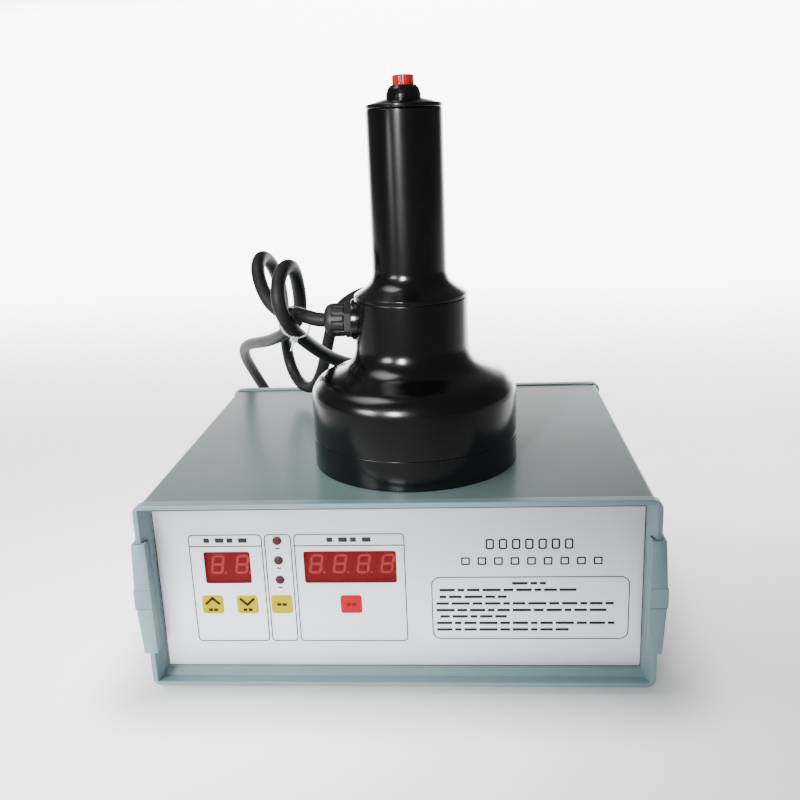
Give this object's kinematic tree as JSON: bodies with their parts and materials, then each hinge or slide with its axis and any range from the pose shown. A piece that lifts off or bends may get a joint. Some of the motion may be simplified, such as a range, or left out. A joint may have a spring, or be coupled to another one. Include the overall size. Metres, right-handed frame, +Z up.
{
  "type": "induction cap sealer",
  "caption": "Induction cap sealer: a grey-blue control box with a recessed panel, a black hand-held sealing head standing on it with a red push button, and a cord tied in a loose hank.",
  "frame": {"origin": "centre of the footprint of the box and head, without the cord, on the table under the feet", "axes": "+Z up along the sealing head, -Y towards the user who faces the control panel, +X to that user's right"},
  "size_m": [0.2988, 0.3084, 0.3415],
  "materials": {
    "bezel_plastic": "satin moulded",
    "shell_paint": "semi-gloss enamel",
    "panel_aluminium": "satin anodised",
    "printed_film": "fine satin",
    "filter_red": "polished, see-through",
    "digit_red": "matt",
    "lamp_red": "diffusing",
    "head_plastic": "satin gloss moulded",
    "button_red": "gloss",
    "gland_plastic": "satin moulded",
    "cord_rubber": "satin",
    "tie_clear": "clear",
    "foot_rubber": "matt",
    "screw_steel": "zinc plated",
    "black_plastic": "matt moulded",
    "board_green": "solder resist",
    "sink_aluminium": "extruded",
    "capacitor_sleeve": "shrink sleeve",
    "ferrite": "sintered",
    "litz_copper": "enamelled strands",
    "former_plastic": "moulded",
    "pin_brass": "plated"
  },
  "bodies": {
    "sealer": {"front_bezel": "bezel_plastic", "rear_bezel": "bezel_plastic", "front_left_clip": "bezel_plastic", "front_right_clip": "bezel_plastic", "rear_left_clip": "bezel_plastic", "rear_right_clip": "bezel_plastic", "top_cover": "shell_paint", "bottom_tray": "shell_paint", "feet": "foot_rubber", "foot_screws": "screw_steel", "cover_screws": "screw_steel", "bezel_screws": "screw_steel", "front_panel": "panel_aluminium", "panel_overlay": "printed_film", "time_filter": "filter_red", "count_filter": "filter_red", "time_display": "digit_red", "count_display": "digit_red", "level_leds": "lamp_red", "display_board": "board_green", "display_standoffs": "screw_steel", "tact_switches": "black_plastic", "rear_panel": "panel_aluminium", "mains_inlet": "black_plastic", "inlet_pins": "pin_brass", "rocker_frame": "black_plastic", "fan_frame": "black_plastic", "fan_screws": "screw_steel", "rear_gland_body": "gland_plastic", "rear_gland_nut": "gland_plastic", "rear_gland_locknut": "gland_plastic", "main_board": "board_green", "board_standoffs": "screw_steel", "heat_sink": "sink_aluminium", "power_transistors": "black_plastic", "capacitors": "capacitor_sleeve", "transformer": "ferrite", "coil_cover": "head_plastic", "coil_former": "former_plastic", "induction_coil": "litz_copper", "ferrite_bars": "ferrite", "bell_housing": "head_plastic", "handle": "head_plastic", "handle_cap": "head_plastic", "switch_body": "head_plastic", "switch_nut": "screw_steel", "button_spring": "screw_steel", "head_gland_body": "gland_plastic", "head_gland_nut": "gland_plastic", "head_gland_locknut": "gland_plastic", "head_cord": "cord_rubber", "cord_tie": "tie_clear"},
    "push_button": {"button_cap": "button_red"},
    "up_key": {"up_key_stem": "black_plastic"},
    "down_key": {"down_key_stem": "black_plastic"},
    "power_key": {"power_key_stem": "black_plastic"},
    "reset_key": {"reset_key_stem": "black_plastic"},
    "mains_rocker": {"rocker": "black_plastic"},
    "fan_wheel": {"fan_rotor": "black_plastic"}
  },
  "joints": [
    {"name": "button_press", "type": "slide", "parent": "sealer", "child": "push_button", "axis": [0, 0, -1], "range_m": [0, 0.003], "stiffness_N_per_m": 400, "springref_m": -0.003, "deforming": ["button_spring"]},
    {"name": "up_key_press", "type": "slide", "parent": "sealer", "child": "up_key", "axis": [0, 1, 0], "range_m": [0, 0.0003], "stiffness_N_per_m": 3000, "springref_m": -0.0002},
    {"name": "down_key_press", "type": "slide", "parent": "sealer", "child": "down_key", "axis": [0, 1, 0], "range_m": [0, 0.0003], "stiffness_N_per_m": 3000, "springref_m": -0.0002},
    {"name": "power_key_press", "type": "slide", "parent": "sealer", "child": "power_key", "axis": [0, 1, 0], "range_m": [0, 0.0003], "stiffness_N_per_m": 3000, "springref_m": -0.0002},
    {"name": "reset_key_press", "type": "slide", "parent": "sealer", "child": "reset_key", "axis": [0, 1, 0], "range_m": [0, 0.0003], "stiffness_N_per_m": 3000, "springref_m": -0.0002},
    {"name": "rocker_tilt", "type": "hinge", "parent": "sealer", "child": "mains_rocker", "pos_m": [-0.042, 0.10625, 0.078], "axis": [1, 0, 0], "range_deg": [0, 20]},
    {"name": "fan_spin", "type": "hinge", "parent": "sealer", "child": "fan_wheel", "pos_m": [0.07, 0.09025, 0.061], "axis": [0, 1, 0], "continuous": true}
  ]
}
